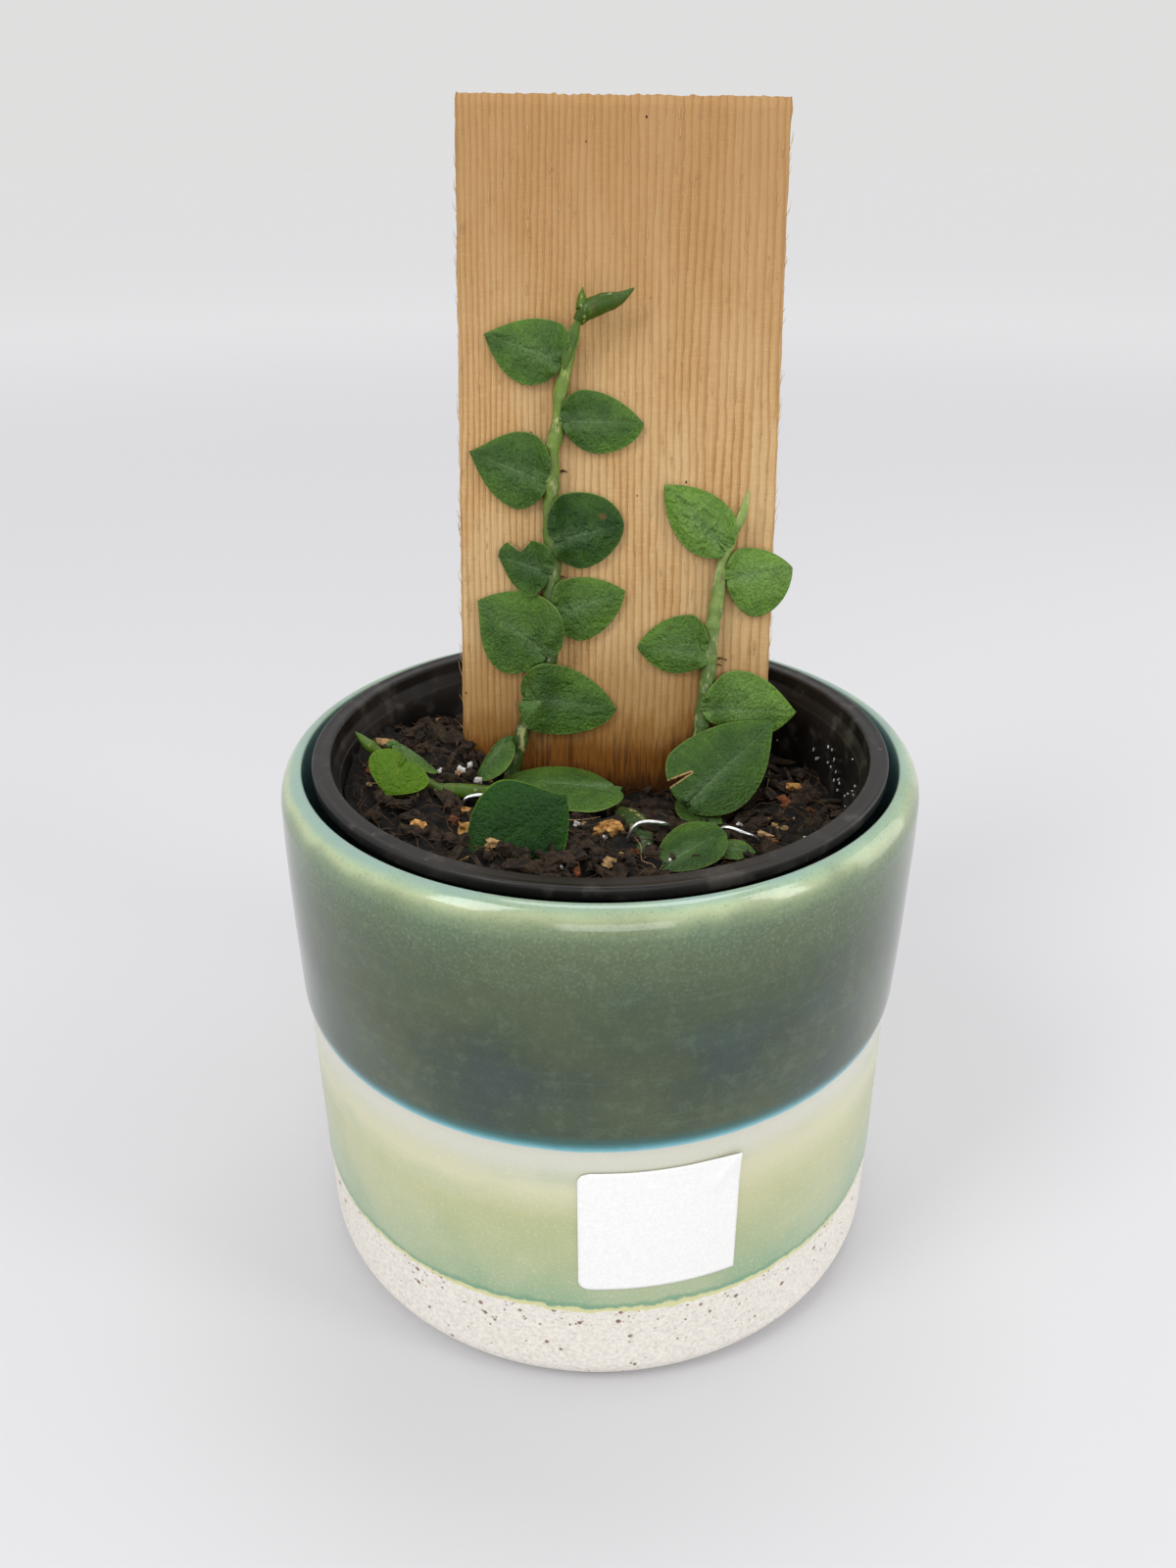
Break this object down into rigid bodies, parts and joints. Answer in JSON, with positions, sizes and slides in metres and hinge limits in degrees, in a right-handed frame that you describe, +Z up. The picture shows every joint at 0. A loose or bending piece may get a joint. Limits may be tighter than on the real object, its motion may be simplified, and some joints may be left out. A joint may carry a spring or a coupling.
{
  "type": "potted climbing plant",
  "caption": "Shingle plant with flat oval leaves climbing a leaning cedar board, in a plastic nursery pot inside a glazed stoneware cover pot.",
  "frame": {"origin": "centre of the cover pot's foot, on the surface it stands on", "axes": "+Z up, -Y is the front that the leaves face, the board leans back towards +Y, +X is to the right seen from the front"},
  "size_m": [0.17, 0.17, 0.3058],
  "materials": {
    "glaze": "glossy layered green and teal glaze over speckled off-white stoneware",
    "label": "blank white label, slightly creased",
    "nursery_plastic": "dark brown-black, satin",
    "soil": "dark potting mix with bark, coir and perlite",
    "cedar": "sawn cedar, unfinished, darker where wet",
    "stem": "waxy green stem",
    "leaf": "velvety dark green leaf",
    "young_leaf": "bright lime young leaf, slightly glossy",
    "wire": "galvanised wire"
  },
  "bodies": {
    "root": {"cover_pot": "glaze", "label": "label", "nursery_pot": "nursery_plastic", "potting_soil": "soil", "cedar_board": "cedar", "left_stem": "stem", "right_stem": "stem", "left_leaf_1": "leaf", "left_leaf_2": "leaf", "left_leaf_3": "leaf", "left_leaf_4": "leaf", "left_leaf_6": "leaf", "left_leaf_7": "leaf", "left_leaf_5": "leaf", "left_leaf_8": "leaf", "right_leaf_1": "leaf", "right_leaf_2": "leaf", "right_leaf_3": "leaf", "right_leaf_4": "leaf", "left_growing_tip": "young_leaf", "right_growing_tip": "young_leaf", "left_leaf_9": "leaf", "right_leaf_5": "leaf", "right_leaf_6": "leaf", "shoot_leaf_1": "young_leaf", "shoot_leaf_2": "leaf", "soil_leaf_1": "leaf", "soil_leaf_2": "leaf", "soil_leaf_3": "leaf", "soil_leaf_4": "leaf", "creeping_stem": "stem", "shoot_stem": "stem", "shoot_tip": "young_leaf", "wire_pin_1": "wire", "wire_pin_2": "wire", "wire_pin_3": "wire"}
  },
  "joints": []
}
